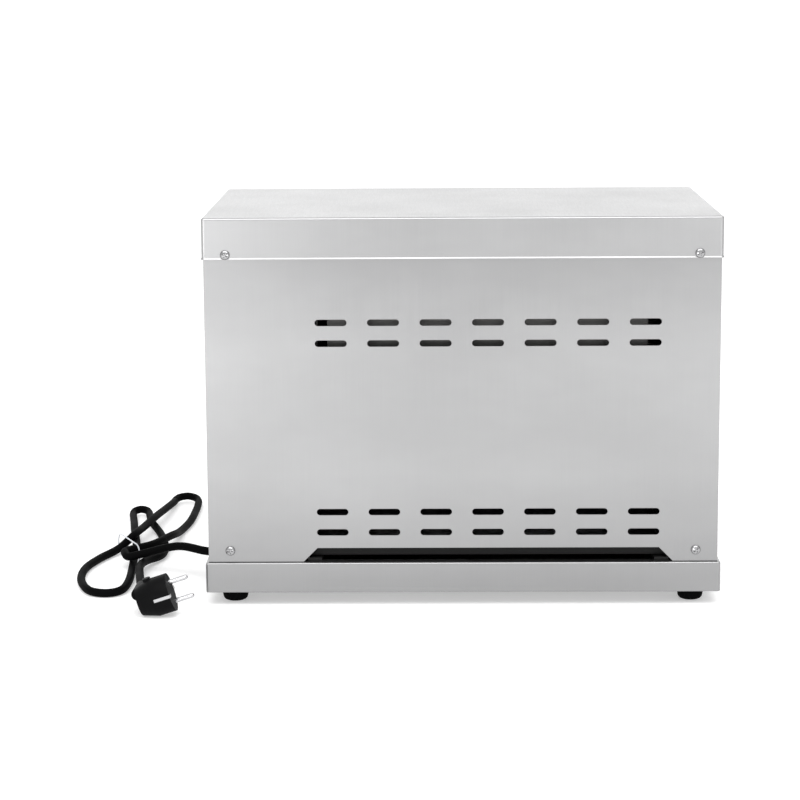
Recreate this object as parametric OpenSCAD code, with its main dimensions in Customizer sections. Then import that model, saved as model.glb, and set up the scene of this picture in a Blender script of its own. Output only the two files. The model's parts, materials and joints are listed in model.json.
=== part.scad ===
// Rotisserie oven: sheet-steel cabinet with a glass drop door, a motor-driven spit, four
// tubular heaters, a drip tray below the cavity and a rubber mains lead with an earthed plug.
// +X right seen from the front, -Y front, +Z up; origin at the middle of the oven's footprint.

/* [Cabinet] */
// Width of the cabinet over its side panels
body_w = 492; // [480:1:520]
// Height of the cabinet between the base and the top cover
body_h = 295; // [290:1:300]
// Thickness of the sheet steel
sheet = 1.2; // [1:0.1:1.5]
/* [Top cover] */
// Width of the top cover
cover_w = 495; // [483:1:523]
// Depth of the top cover
cover_d = 315; // [310:1:320]
// Height of the top cover's skirt
cover_h = 39.5; // [30:0.5:50]
/* [Base] */
// Width of the base pan
base_w = 498; // [486:1:526]
// Depth of the base pan
base_d = 319; // [314:1:324]
// Height of the base pan
base_h = 29.5; // [28:0.5:32]
/* [Feet] */
// Diameter of a rubber foot
foot_d = 25; // [20:1:30]
// Height of a rubber foot
foot_h = 13; // [11:0.5:15]
/* [Cavity] */
// Width of the cooking cavity
cavity_w = 307; // [300:1:310]
// Height of the cooking cavity
cavity_h = 218; // [214:1:220]
/* [Vents] */
// Distance between two vent slots side by side
vent_pitch = 50; // [45:1:52]
// Length of a vent slot
vent_l = 30.5; // [20:0.5:36]
// Height of a vent slot
vent_h = 6.3; // [4:0.1:8]
// Number of vent slots in a row
vent_count = 7; // [3:1:7]
/* [Door] */
// Width of the door
door_w = 344; // [340:1:346]
// Height of the door
door_h = 230; // [228:1:232]
/* [Spit] */
// Width across the square spit
spit_w = 8; // [6:1:8]
// Diameter of a heater tube
heater_d = 8; // [6:0.5:8]
/* [Cord] */
// Diameter of the mains lead
cord_d = 8.4; // [7:0.1:8.4]

/* [Hidden] */
$fn = 48;
fit_gap = 0.05;
slip_gap = 0.3;
cut = 1;
through = 4 * sheet;
far = 1000;

// Heights
base_z = foot_h;
body_z = base_z + base_h;
skirt_z = body_z + body_h;
top_z = skirt_z + cover_h;
panel_top = top_z - 3 * sheet;

// Depths
front_reach = 50;
base_back = (base_d + front_reach) / 2;
base_front = base_back - base_d;
cover_back = base_back - 2;
cover_front = cover_back - cover_d;
back_y = cover_back - sheet;
front_y = cover_front + sheet;
inner_back = back_y - sheet;
inner_front = front_y + sheet;

// Cooking cavity
cavity_x = -24.5;
cavity_left = cavity_x - cavity_w / 2;
cavity_right = cavity_x + cavity_w / 2;
cavity_top = 322;
cavity_floor = cavity_top - cavity_h;
cavity_back = 150;
liner_foot = cavity_floor - 4;
liner_head = cavity_top + 2;
shield_x = cavity_right + 11;
shield_back = 140;
drive_hole_d = 24;
drain_l = 32;
drain_w = 6;
drain_pitch = 56;

// Spit and heaters
spit_y = 11;
spit_z = 212;
journal_d = 6;
heaters = [[-62, 300], [84, 300], [-72, 124], [94, 124]];
heater_end = 8;
terminal_l = 9;
terminal_d = 3;
insulator_d = 13.8;

// Controls, top to bottom
control_x = 198;
control_z = [282, 216, 150];
knob_d = 36;
knob_h = 20;
spindle_d = 6;
plate_w = 84;
plate_h = 272;
plate_z = 190;
control_hole_d = 10;
lamp_x = 15;
lamp_z = 96;
lamp_hole_d = 8;

// Door
door_t = 13.7;
door_back = front_y - 1;
door_front = door_back - door_t;
door_z = 100;
window_w = 262;
window_z = [38, 202];
glass_t = 4;
rebate = 12;
hinge_y = (door_back + door_front) / 2;
hinge_z = door_z + 6;
hinge_pin_d = 5;
hinge_pin_l = 17;
handle_z = door_z + door_h - 14;
handle_d = 14;
handle_y = -base_back + handle_d / 2;
handle_l = 240;
post_x = 100;

// Drip tray
tray_x = -24.5;
tray_w = 345;
tray_z = 46.5;
tray_h = 16;
tray_back = 168;
bay_w = 351;
bay_top = 96;
tray_front = 2.6;
grip_z = 70;
grip_reach = 18;
grip_post = 45;
grip_w = 120;

// Vents, notch and inward flanges
vent_z = [72, 92, 256.5, 276.5];
side_vent_y = [-60, -10, 40];
notch_foot = 179;
notch_head = 165;
notch_h = 14;
base_flange = 14;
panel_flange = 12;

// Screws and feet
screw_x = 225;
cover_screw_z = 342;
back_screw_z = 54;
screw_d = 3.9;
screw_hole_d = 4.2;
screw_head_d = 9.4;
screw_head_h = 3;
screw_l = 9;
foot_x = base_w / 2 - 26.5;
foot_y = [base_front + 27.5, base_back - 27.5];
foot_screw_d = 4;
foot_recess_d = 9;
foot_recess_h = 5;

// Mains lead and gland
gland_y = 83;
gland_z = 30;
gland_d = 16;
gland_flange = 3.5;
gland_l = 24;
plug_at = [279, 219, 23];
plug_tilt = 18;
plug_d = 37.4;
plug_l = 32.6;
grip_l = 17;
pin_z = 9.5;
pin_d = 4.7;
pin_l = 17.5;
clip_l = 15.5;
clip_w = 3;
clip_t = 0.9;
clip_hook = 6;
bump_at = [19, -1, 0];
bump_d = 8;
bump_h = 20.2;
neck_at = [31.8, 0, 7.4];
neck_l = 34;

// Route of the mains lead: out of the gland, down, and folded into a tied hank on the floor
ROUTE = [
    [226, 83, 30], [256, 83, 30], [289, 58.5, 29.5], [327.5, 41.5, 17.5], [341.5, 39.5, 14],
    [346.5, 30.5, 14.5], [346.5, 16.5, 15], [324.5, -14, 14], [309.5, -60.5, 12.5],
    [305, -114.5, 5], [299, -166.5, 4.5], [298, -224.5, 4.5], [298.8, -258, 4.6], [300, -270, 5],
    [303.8, -279.2, 6.4], [313, -283, 7.8], [322.2, -279.2, 7.2], [326, -270.5, 6.2],
    [327.3, -259, 5.8], [329.5, -209, 10.5], [335.5, -152, 13.5], [342, -99.5, 14],
    [348, -59, 14.5], [361.5, -30, 6], [377, 9.5, 4.5], [385.5, 52.5, 4.5], [383, 99, 4.5],
    [369.5, 140.5, 4.5], [351.5, 152, 4.5], [337.5, 140, 4.5], [334.5, 103, 4.5], [337.5, 48.5, 5],
    [341.5, -6.5, 6.5], [346, -58.5, 6], [354.5, -113, 5], [362, -168, 4.5], [366.2, -195.5, 4.5],
    [367.1, -205.5, 5], [365.7, -211.9, 6.2], [360.2, -215.4, 7.2], [353.9, -214.2, 6.6],
    [350.2, -208.8, 5.4], [348, -199, 4.6], [341.5, -163, 4.5], [325.5, -106, 4.5], [315, -53, 4.5],
    [313, -6, 5], [325.5, 34.5, 8], [326, 79, 13], [320, 130, 17.5], [311.5, 189, 20.2]
];

// ---- helpers ----

// One copy of the children at each of the four feet
module at_feet()
    for (x = [-foot_x, foot_x], y = foot_y)
        translate([x, y, 0])
            children();

// Box given by its lowest and highest corners
module span(low, high)
    translate(low)
        cube(high - low);

// Cylinder along +X from a start point
module rod_x(at, d, l)
    translate(at)
        rotate([0, 90, 0])
            cylinder(d = d, h = l);

// Cylinder along +Y from a start point
module rod_y(at, d, l)
    translate(at)
        rotate([-90, 0, 0])
            cylinder(d = d, h = l);

// Flat outline with round corners, centred
module round_rect(w, d, r) {
    square([w - 2 * r, d], center = true);
    square([w, d - 2 * r], center = true);
    for (x = [-1, 1], y = [-1, 1])
        translate([x * (w / 2 - r), y * (d / 2 - r)])
            circle(r = r);
}

// Slot with round ends along X, cut through a wall that faces Y
module slot_y(x, y, z, l, h, depth)
    translate([x, y + depth / 2, z])
        rotate([90, 0, 0])
            linear_extrude(depth)
                union() {
                    square([l - h, h], center = true);
                    for (s = [-1, 1])
                        translate([s * (l - h) / 2, 0])
                            circle(d = h);
                }

// Slot with round ends along Y, cut through a wall that faces X
module slot_x(x, y, z, l, h, depth)
    translate([x, y, z])
        rotate([0, 0, 90])
            slot_y(0, 0, 0, l, h, depth);

// Pan-head screw, head towards -Y, with a cross recess
module pan_screw_y()
    difference() {
        union() {
            rotate([90, 0, 0])
                cylinder(d1 = screw_head_d, d2 = screw_head_d * 0.72, h = screw_head_h);
            rotate([-90, 0, 0])
                cylinder(d = screw_d, h = screw_l);
        }
        for (a = [0, 90])
            translate([0, -screw_head_h, 0])
                rotate([0, a, 0])
                    cube([screw_head_d * 0.55, screw_head_h, 1.1], center = true);
    }

// ---- base and feet ----

// Folded pan with an inward flange on top
module base_pan() color("silver")
    difference() {
        span([-base_w / 2, base_front, base_z], [base_w / 2, base_back, body_z]);
        span([-base_w / 2 + sheet, base_front + sheet, base_z + sheet],
             [base_w / 2 - sheet, base_back - sheet, body_z - sheet]);
        span([-base_w / 2 + base_flange, base_front + base_flange, body_z - 2 * sheet],
             [base_w / 2 - base_flange, base_back - base_flange, body_z + sheet]);
        at_feet()
            translate([0, 0, base_z - sheet])
                cylinder(d = foot_screw_d + 0.4, h = 3 * sheet);
        rod_x([base_w / 2 - 2 * sheet, gland_y, gland_z], gland_d, 3 * sheet);
    }

// Rubber foot: a turned dome with a recessed screw
module foot(x, y) color("black")
    translate([x, y, 0])
        difference() {
            rotate_extrude()
                polygon([[0, 0], [foot_d * 0.36, 0], [foot_d * 0.45, 1.5], [foot_d * 0.49, 5],
                         [foot_d / 2, foot_h], [0, foot_h]]);
            translate([0, 0, -cut])
                cylinder(d = foot_recess_d, h = foot_recess_h + cut);
            cylinder(d = foot_screw_d + 2 * fit_gap, h = foot_h + cut);
        }
module foot_front_left() foot(-foot_x, foot_y[0]);
module foot_front_right() foot(foot_x, foot_y[0]);
module foot_rear_left() foot(-foot_x, foot_y[1]);
module foot_rear_right() foot(foot_x, foot_y[1]);

// Screw up through each foot, with a hexagonal nut inside the base
module foot_screws() color("gainsboro")
    at_feet() {
        translate([0, 0, 2])
            cylinder(d = 8, h = 3);
        translate([0, 0, 4])
            cylinder(d = foot_screw_d, h = foot_h + 2);
        translate([0, 0, base_z + sheet])
            cylinder(d = 7, h = 3, $fn = 6);
    }

// ---- cabinet ----

// Side sheet with a flange folded in at the top, under the cover
module side_panel(side) {
    x = side * body_w / 2;
    inner = x - side * sheet;
    span([min(x, inner), inner_front, body_z], [max(x, inner), inner_back, panel_top]);
    fold = inner - side * panel_flange;
    span([min(inner, fold), inner_front, panel_top - sheet], [max(inner, fold), inner_back, panel_top]);
}

module side_panel_left() color("silver") side_panel(-1);

// The right side cools the motor and the controls through two groups of slots
module side_panel_right() color("silver")
    difference() {
        side_panel(1);
        for (z = vent_z, y = side_vent_y)
            slot_x(body_w / 2 - sheet / 2, y, z, vent_l, vent_h, through);
    }

// Slots in the rear: two rows high up and two rows low down
module vent_rows()
    for (z = vent_z, i = [0 : vent_count - 1])
        slot_y(cavity_x + (i - (vent_count - 1) / 2) * vent_pitch, back_y - sheet / 2, z,
               vent_l, vent_h, through);

// Rear sheet: vents, a low notch with sloping ends over the tray, and screw holes
module back_panel() color("silver")
    difference() {
        span([-body_w / 2, inner_back, body_z], [body_w / 2, back_y, panel_top]);
        vent_rows();
        translate([cavity_x, back_y + sheet, body_z])
            rotate([90, 0, 0])
                linear_extrude(through)
                    polygon([[-notch_foot, -cut], [notch_foot, -cut], [notch_foot, 0], [notch_head, notch_h],
                             [-notch_head, notch_h], [-notch_foot, 0]]);
        for (x = [-screw_x, screw_x], z = [back_screw_z, cover_screw_z])
            rod_y([x, inner_back - sheet, z], screw_hole_d, through);
    }

// Lid with a skirt that hangs over the side and rear sheets
module top_cover() color("gainsboro")
    translate([0, (cover_back + cover_front) / 2, 0])
        difference() {
            translate([0, 0, skirt_z])
                linear_extrude(cover_h)
                    round_rect(cover_w, cover_d, 2.5);
            translate([0, 0, skirt_z - cut])
                linear_extrude(cover_h + cut - sheet)
                    square([cover_w - 2 * sheet, cover_d - 2 * sheet], center = true);
            for (x = [-screw_x, screw_x])
                rod_y([x, cover_d / 2 - 2 * sheet, cover_screw_z], screw_hole_d, through);
        }

// Two screws in the rear, at one height and depth
module rear_screws(y, z)
    for (x = [-screw_x, screw_x])
        translate([x, y, z])
            rotate([0, 0, 180])
                pan_screw_y();
module cover_screws() color("gainsboro") rear_screws(cover_back, cover_screw_z);
module back_screws() color("gainsboro") rear_screws(back_y, back_screw_z);

// Front sheet with the cavity's mouth, the tray's bay and the control holes
module front_frame() color("silver")
    difference() {
        span([-body_w / 2, front_y, body_z], [body_w / 2, inner_front, panel_top]);
        span([cavity_left, front_y - cut, cavity_floor + 6], [cavity_right, inner_front + cut, cavity_top]);
        span([tray_x - bay_w / 2, front_y - cut, tray_z - 0.5],
             [tray_x + bay_w / 2, inner_front + cut, bay_top]);
        control_holes();
    }

// Holes shared by the front sheet and the plate on it
module control_holes() {
    for (z = control_z)
        rod_y([control_x, front_y - through, z], control_hole_d, 2 * through);
    for (x = [-lamp_x, lamp_x])
        rod_y([control_x + x, front_y - through, lamp_z], lamp_hole_d, 2 * through);
}

// Painted plate behind the knobs
module control_plate() color("dimgray")
    difference() {
        translate([control_x, front_y, plate_z])
            rotate([90, 0, 0])
                linear_extrude(sheet)
                    round_rect(plate_w, plate_h, 3);
        control_holes();
    }

// ---- cavity ----

// Side sheet of the cavity with a hole for each heater
module liner_side(x)
    difference() {
        span([x, inner_front, liner_foot], [x + sheet, cavity_back, liner_head]);
        for (h = heaters)
            rod_x([x - cut, h[0], h[1]], insulator_d + 2 * fit_gap, through);
    }

module liner_left() color("darkgray") liner_side(cavity_left - sheet);
module liner_right() color("darkgray")
    difference() {
        liner_side(cavity_right);
        rod_x([cavity_right - cut, spit_y, spit_z], drive_hole_d, through);
    }
module liner_top() color("darkgray")
    span([cavity_left, inner_front, cavity_top], [cavity_right, cavity_back, cavity_top + sheet]);
module liner_back() color("darkgray")
    span([cavity_left - sheet, cavity_back, liner_foot],
         [cavity_right + sheet, cavity_back + sheet, liner_head]);

// Floor sheet with drain slots over the drip tray
module drain_plate() color("gray")
    difference() {
        span([cavity_left, inner_front, cavity_floor - sheet], [cavity_right, cavity_back, cavity_floor]);
        for (i = [-2 : 2], y = [-85 : 40 : 115])
            translate([cavity_x + i * drain_pitch, y, cavity_floor])
                linear_extrude(through, center = true)
                    union() {
                        square([drain_l, drain_w], center = true);
                        for (s = [-1, 1])
                            translate([s * drain_l / 2, 0])
                                circle(d = drain_w);
                    }
    }

// Sheet between the cavity and the motor, open where the heaters and the drive pass
module heat_shield() color("silver")
    difference() {
        span([shield_x, inner_front, liner_foot], [shield_x + sheet, shield_back, liner_head]);
        for (h = heaters)
            rod_x([shield_x - cut, h[0], h[1]], insulator_d + 2.2, through);
        rod_x([shield_x - cut, spit_y, spit_z], drive_hole_d + 2, through);
    }

// Tubular heater through both side sheets, with a thin terminal at each end
module heater(i) color("dimgray") {
    at = heaters[i];
    l = cavity_w + 2 * heater_end;
    rod_x([cavity_left - heater_end, at[0], at[1]], heater_d, l);
    rod_x([cavity_left - heater_end - terminal_l, at[0], at[1]], terminal_d, l + 2 * terminal_l);
}
module heater_upper_front() heater(0);
module heater_upper_rear() heater(1);
module heater_lower_front() heater(2);
module heater_lower_rear() heater(3);

// Ceramic bush with a collar outside the cavity, at each end of each heater
module heater_insulators() color("linen")
    for (h = heaters, side = [-1, 1])
        translate([cavity_x + side * cavity_w / 2, h[0], h[1]])
            rotate([0, side * 90, 0])
                difference() {
                    union() {
                        translate([0, 0, -3])
                            cylinder(d = insulator_d, h = 9);
                        translate([0, 0, sheet])
                            cylinder(d = 18, h = 4.5);
                    }
                    translate([0, 0, -4])
                        cylinder(d = heater_d + 2 * fit_gap, h = 12);
                }

// ---- rack ----

rack_z = 139;
rack_wire = 3;
rack_wires = 15;
rack_front = -118;
rack_back = 142;
ledge_front = -116;
ledge_back = 140;

// Wire grid: a frame of thick wire with thin wires front to back
module wire_rack() color("gainsboro") {
    half = cavity_w / 2 - 4;
    for (y = [rack_front, 12, rack_back])
        rod_x([cavity_x - half, y, rack_z], 4, 2 * half);
    for (i = [0 : rack_wires - 1])
        rod_y([cavity_x - half + 2 + i * (2 * half - 4) / (rack_wires - 1), rack_front - 1, rack_z],
              rack_wire, rack_back - rack_front + 2);
}

// Ledges on the cavity's sides
module rack_supports() color("gainsboro")
    for (side = [-1, 1]) {
        wall = cavity_x + side * cavity_w / 2;
        edge = wall - side * 9;
        rib = wall - side * 1.5;
        span([min(wall, edge), ledge_front, rack_z - 3.6], [max(wall, edge), ledge_back, rack_z - 2.1]);
        span([min(wall, rib), ledge_front, rack_z - 7.6], [max(wall, rib), ledge_back, rack_z - 3.6]);
    }

// ---- spit drive ----

coupler_x = 112;
coupler_l = 30;
coupler_d = 18;
socket_l = 23;
shaft_d = 7;
motor_x = 152;
gearbox_d = 50;
gearbox_l = 18;
motor_d = 58;
motor_l = 22;
bracket_arm = 42;
bracket_half = 16;

// Synchronous motor on a gearbox, with a bearing bore for the drive shaft
module gear_motor() color("goldenrod")
    difference() {
        union() {
            rod_x([motor_x, spit_y, spit_z], gearbox_d, gearbox_l);
            rod_x([motor_x + gearbox_l, spit_y, spit_z - 10], motor_d, motor_l);
            span([motor_x + gearbox_l + 4, spit_y - 8, spit_z + 15],
                 [motor_x + gearbox_l + motor_l - 4, spit_y + 8, spit_z + 26]);
        }
        rod_x([motor_x - cut, spit_y, spit_z], shaft_d + 2 * fit_gap, 14);
    }

// Z-shaped bracket from the shield to the gearbox's front face
module motor_bracket() color("silver")
    difference() {
        union() {
            span([motor_x - 2, spit_y - bracket_arm, spit_z - bracket_half],
                 [motor_x, spit_y + bracket_arm, spit_z + bracket_half]);
            for (s = [-1, 1]) {
                arm_y = spit_y + s * bracket_arm;
                tab_y = arm_y + s * 6;
                span([shield_x + sheet, arm_y - 1, spit_z - bracket_half],
                     [motor_x, arm_y + 1, spit_z + bracket_half]);
                span([shield_x + sheet, tab_y - 7, spit_z - bracket_half],
                     [shield_x + sheet + 2, tab_y + 7, spit_z + bracket_half]);
            }
        }
        rod_x([motor_x - 3, spit_y, spit_z], 12, 4);
    }

// Drive socket and shaft, turned by the motor
module drive_coupler() color("gray")
    difference() {
        union() {
            rod_x([coupler_x, spit_y, spit_z], coupler_d, coupler_l);
            rod_x([coupler_x + 4, spit_y, spit_z], coupler_d + 3, 4);
            rod_x([coupler_x + coupler_l, spit_y, spit_z], shaft_d, motor_x + 8 - coupler_x - coupler_l);
        }
        translate([coupler_x - cut, spit_y, spit_z])
            rotate([0, 90, 0])
                linear_extrude(socket_l + cut)
                    square(spit_w + 0.4, center = true);
    }

// Ledge with an open notch that carries the spit's round end
module spit_support() color("silver") {
    x = cavity_left;
    near = spit_y - 14;
    back = spit_y + 14;
    notch = journal_d / 2 + 0.2;
    difference() {
        span([x + 6, near, spit_z - 18], [x + 9, back, spit_z + 6]);
        rod_x([x + 5, spit_y, spit_z], 2 * notch, 5);
        span([x + 5, spit_y - notch, spit_z], [x + 10, spit_y + notch, spit_z + 7]);
    }
    span([x, near, spit_z - 20], [x + 9, back, spit_z - 18]);
    span([x, near, spit_z - 34], [x + 2, back, spit_z - 20]);
}

// Square spit: round journal on the left, four-sided point in the drive socket
module spit_rod() color("gainsboro") {
    x = cavity_left;
    square_l = coupler_x - x;
    rod_x([x + 2, spit_y, spit_z], journal_d, 18);
    rod_x([x + 11, spit_y, spit_z], 11, 3);
    translate([x + 14, spit_y, spit_z])
        rotate([0, 90, 0])
            linear_extrude(square_l)
                square(spit_w, center = true);
    translate([x + 14 + square_l, spit_y, spit_z])
        rotate([0, 90, 0])
            rotate([0, 0, 45])
                cylinder(r1 = spit_w / sqrt(2), r2 = 1, h = 7, $fn = 4);
}

// Fork: hub on the spit, cross bar and two prongs; turn sets the bar's direction about X
fork_x = [-120, 70];
hub_d = 20;
hub_l = 14;
prong_l = 55;
prong_r = 30;
prong_d = 3.6;
point_l = 10;
thumb_d = 5;
module fork(x, way, turn) color("gainsboro")
    translate([x, spit_y, spit_z])
        rotate([turn, 0, 0]) {
            difference() {
                union() {
                    rod_x([-hub_l / 2, 0, 0], hub_d, hub_l);
                    span([-2, -5, -prong_r - 3], [2, 5, prong_r + 3]);
                }
                translate([-hub_l, 0, 0])
                    rotate([0, 90, 0])
                        linear_extrude(2 * hub_l)
                            square(spit_w + 0.3, center = true);
                rod_y([0, 0, 0], thumb_d + 2 * fit_gap, hub_d);
            }
            for (s = [-1, 1])
                translate([way * 2, 0, s * prong_r])
                    rotate([0, way * 90, 0]) {
                        cylinder(d = prong_d, h = prong_l - point_l);
                        translate([0, 0, prong_l - point_l])
                            cylinder(d1 = prong_d, d2 = 0.6, h = point_l);
                    }
        }
module fork_left() fork(fork_x[0], 1, 0);
module fork_right() fork(fork_x[1], -1, -90);

// Thumbscrew in the hub, along +Y before it is turned about X
module thumbscrew(x, turn) color("gainsboro")
    translate([x, spit_y, spit_z])
        rotate([turn, 0, 0])
            difference() {
                union() {
                    rod_y([0, spit_w / 2 + 0.5, 0], thumb_d, 13.8);
                    rod_y([0, 15, 0], 9, 3);
                    rod_y([0, 18, 0], 15, 6);
                }
                for (a = [0 : 30 : 330])
                    rotate([0, a, 0])
                        rod_y([8, 17, 0], 2.4, 8);
            }
module thumbscrew_left() thumbscrew(fork_x[0], 0);
module thumbscrew_right() thumbscrew(fork_x[1], -90);

// ---- door ----

// Pressed door frame: open window, a rebate for the glass behind it, a bore at each hinge
module door_frame() color("silver")
    difference() {
        span([cavity_x - door_w / 2, door_front, door_z],
             [cavity_x + door_w / 2, door_back, door_z + door_h]);
        span([cavity_x - window_w / 2, door_front - cut, door_z + window_z[0]],
             [cavity_x + window_w / 2, door_back + cut, door_z + window_z[1]]);
        glass_space(0.2);
        for (side = [-1, 1])
            rod_x([cavity_x + side * door_w / 2 - hinge_pin_l - 1, hinge_y, hinge_z],
                  hinge_pin_d + 2 * fit_gap, 2 * hinge_pin_l + 2);
        door_toe();
    }

// Slope that cuts the lower rear edge back, so that it clears the front sheet as the door turns
module door_toe()
    translate([cavity_x - door_w / 2 - 1, door_back, door_z])
        rotate([90, 0, 90])
            linear_extrude(door_w + 2)
                polygon([[1, -1], [-5, -1], [-5, 0], [0, 5], [1, 5]]);

// Space that the glass takes behind the window, with a gap round it
module glass_space(gap) {
    half = window_w / 2 + rebate + gap;
    low = door_z + window_z[0] - rebate - gap;
    high = door_z + window_z[1] + rebate + gap;
    span([cavity_x - half, door_back - glass_t - gap, low], [cavity_x + half, door_back + gap, high]);
}

module door_glass() color("lightcyan", 0.35) glass_space(0);

module door_handle() color("black")
    rod_x([cavity_x - handle_l / 2, handle_y, handle_z], handle_d, handle_l);

module handle_posts() color("silver")
    for (x = [-post_x, post_x])
        difference() {
            rod_y([cavity_x + x, handle_y, handle_z], 10, door_front - handle_y);
            rod_x([cavity_x + x - 10, handle_y, handle_z], handle_d, 20);
        }

// Hinge: a plate on the front sheet with a pin into the door's end
module hinge(side) color("silver") {
    x = cavity_x + side * (door_w / 2 + 1);
    out = x + side * 3;
    span([min(x, out), hinge_y - 5, hinge_z - 5], [max(x, out), front_y, hinge_z + 7]);
    rod_x([side > 0 ? x - hinge_pin_l : x, hinge_y, hinge_z], hinge_pin_d, hinge_pin_l);
}
module hinge_left() hinge(-1);
module hinge_right() hinge(1);

// ---- controls ----

// Control body behind the front sheet, with a threaded neck through it
module control_body(z, d, l)
    difference() {
        union() {
            rod_y([control_x, inner_front, z], d, l);
            rod_y([control_x, front_y - sheet - 2, z], 9.8, inner_front - front_y + sheet + 3);
        }
        rod_y([control_x, front_y - 5, z], spindle_d + 2 * fit_gap, 20);
    }

// Block behind a control body: half width, half height, and its two depths behind the front sheet
module control_block(z, half_w, half_h, near, back)
    span([control_x - half_w, inner_front + near, z - half_h],
         [control_x + half_w, inner_front + back, z + half_h]);

module thermostat() color("gainsboro") {
    control_body(control_z[0], 40, 22);
    control_block(control_z[0], 16, 10, 22, 34);
}
module timer() color("whitesmoke") {
    control_body(control_z[1], 44, 30);
    control_block(control_z[1], 10, 14, 30, 38);
}
module mode_switch() color("burlywood") control_body(control_z[2], 34, 26);

// Capillary sensor: a bulb clipped under the cavity's top, its tube back to the thermostat
module thermostat_bulb() color("goldenrod") {
    bulb_y = 60;
    bulb_z = cavity_top - 12;
    rod_x([cavity_right - 92, bulb_y, bulb_z], 5, 80);
    rod_x([cavity_right - 12, bulb_y, bulb_z], 1.6, 12);
}

// Knob: skirt, grip bar and spindle
module knob(z) color("black") {
    face = front_y - sheet - 2.5;
    difference() {
        union() {
            translate([control_x, face, z])
                rotate([90, 0, 0])
                    cylinder(d1 = knob_d, d2 = knob_d - 4, h = 6);
            intersection() {
                translate([control_x, face - 5, z])
                    rotate([90, 0, 0])
                        cylinder(d = knob_d - 4, h = knob_h - 5);
                span([control_x - 5, face - knob_h, z - far], [control_x + 5, face, z + far]);
            }
        }
        span([control_x - 0.7, face - knob_h - 1, z + 4], [control_x + 0.7, face - knob_h + 1, z + far]);
    }
    rod_y([control_x, face - 1, z], spindle_d, 16);
}
module thermostat_knob() knob(control_z[0]);
module timer_knob() knob(control_z[1]);
module mode_knob() knob(control_z[2]);

module pilot_lamps() color("orangered")
    for (x = [-lamp_x, lamp_x]) {
        rod_y([control_x + x, front_y - sheet, lamp_z], lamp_hole_d - 0.2, 14);
        translate([control_x + x, front_y - sheet, lamp_z])
            rotate([90, 0, 0])
                cylinder(d1 = 11, d2 = 7, h = 3);
    }

// ---- wiring ----

terminal_y = 109;
terminal_z = base_z + sheet + 8;
terminal_pitch = 14;
block_x = [176, 206];
wire_d = 2.6;

module terminal_block() color("ivory")
    difference() {
        span([block_x[0], 100, base_z + sheet], [block_x[1], 146, base_z + sheet + 16]);
        for (i = [0 : 2])
            rod_x([block_x[0] - cut, terminal_y + i * terminal_pitch, terminal_z], 4.5, 32);
        for (i = [0 : 2], x = [block_x[0] + 8, block_x[1] - 8])
            translate([x, terminal_y + i * terminal_pitch, terminal_z + 1])
                cylinder(d = 5, h = 10);
    }

// Wire with round elbows through a list of points
module wire(points)
    for (i = [0 : len(points) - 2]) {
        a = points[i];
        b = points[i + 1];
        l = norm(b - a);
        translate(a)
            rotate([0, acos((b - a)[2] / l), atan2((b - a)[1], (b - a)[0])])
                cylinder(d = wire_d, h = l, $fn = 24);
        translate(b)
            sphere(d = 1.2 * wire_d, $fn = 24);
    }

// Supply wires from the gland to the block, and a wire from the block to each control
module wiring_harness() color("firebrick")
    for (i = [0 : 2]) {
        y = terminal_y + i * terminal_pitch;
        supply_y = gland_y + (i - 1) * 3.5;
        supply_x = 168 - i * 4;
        riser_x = 214 + i * 9;
        bend_z = control_z[i] - 30;
        wire([[223, supply_y, gland_z], [supply_x, supply_y, gland_z], [supply_x, supply_y, terminal_z],
              [supply_x, y, terminal_z], [block_x[0] - 2, y, terminal_z]]);
        wire([[block_x[1] + 2, y, terminal_z], [riser_x, y, terminal_z], [riser_x, y, bend_z],
              [riser_x, inner_front + 50, bend_z]]);
    }

// ---- drip tray ----

// Shallow tray with a front plate that closes the bay
module drip_tray() color("dimgray")
    difference() {
        union() {
            span([tray_x - tray_w / 2, front_y - slip_gap, tray_z],
                 [tray_x + tray_w / 2, tray_back, tray_z + tray_h]);
            span([tray_x - bay_w / 2 - 3, front_y - tray_front, body_z + 1.5],
                 [tray_x + bay_w / 2 + 3, front_y - slip_gap, bay_top - 1.5]);
        }
        span([tray_x - tray_w / 2 + sheet, front_y + sheet, tray_z + sheet],
             [tray_x + tray_w / 2 - sheet, tray_back - sheet, tray_z + tray_h + cut]);
    }

// Round bar on two posts
module tray_handle() color("black") {
    grip_y = front_y - tray_front - grip_reach;
    for (x = [-grip_post, grip_post])
        rod_y([tray_x + x, grip_y, grip_z], 8, grip_reach);
    rod_x([tray_x - grip_w / 2, grip_y, grip_z], 9, grip_w);
}

// Angle strips from front to back that the tray slides on
module tray_rails() color("silver")
    for (side = [-1, 1]) {
        edge = tray_x + side * (tray_w / 2 + 0.5);
        out = edge + side * 1.5;
        in = edge - side * 12;
        span([min(edge, out), inner_front, body_z], [max(edge, out), inner_back - 2, body_z + 16]);
        span([min(in, out), inner_front, body_z], [max(in, out), inner_back - 2, tray_z - slip_gap]);
    }

// ---- mains lead ----

// Gland through the base's side wall, tapered towards its inner end
module cord_gland() color("black")
    difference() {
        union() {
            rod_x([base_w / 2, gland_y, gland_z], 20, gland_flange);
            rod_x([base_w / 2 - sheet, gland_y, gland_z], gland_d - 0.1, sheet);
            translate([base_w / 2 - sheet, gland_y, gland_z])
                rotate([0, -90, 0])
                    cylinder(d1 = 18, d2 = 12, h = gland_l);
        }
        rod_x([base_w / 2 - gland_l - 5, gland_y, gland_z], cord_d + 2 * fit_gap, gland_l + 15);
    }

cord_sides = 10;
ring_step = 32;

// Route point i, or the point before the first or after the last, carried on in a straight line
function route_point(i) =
    i < 0 ? 2 * ROUTE[0] - ROUTE[1] :
    i >= len(ROUTE) ? 2 * ROUTE[len(ROUTE) - 1] - ROUTE[len(ROUTE) - 2] :
    ROUTE[i];

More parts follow.
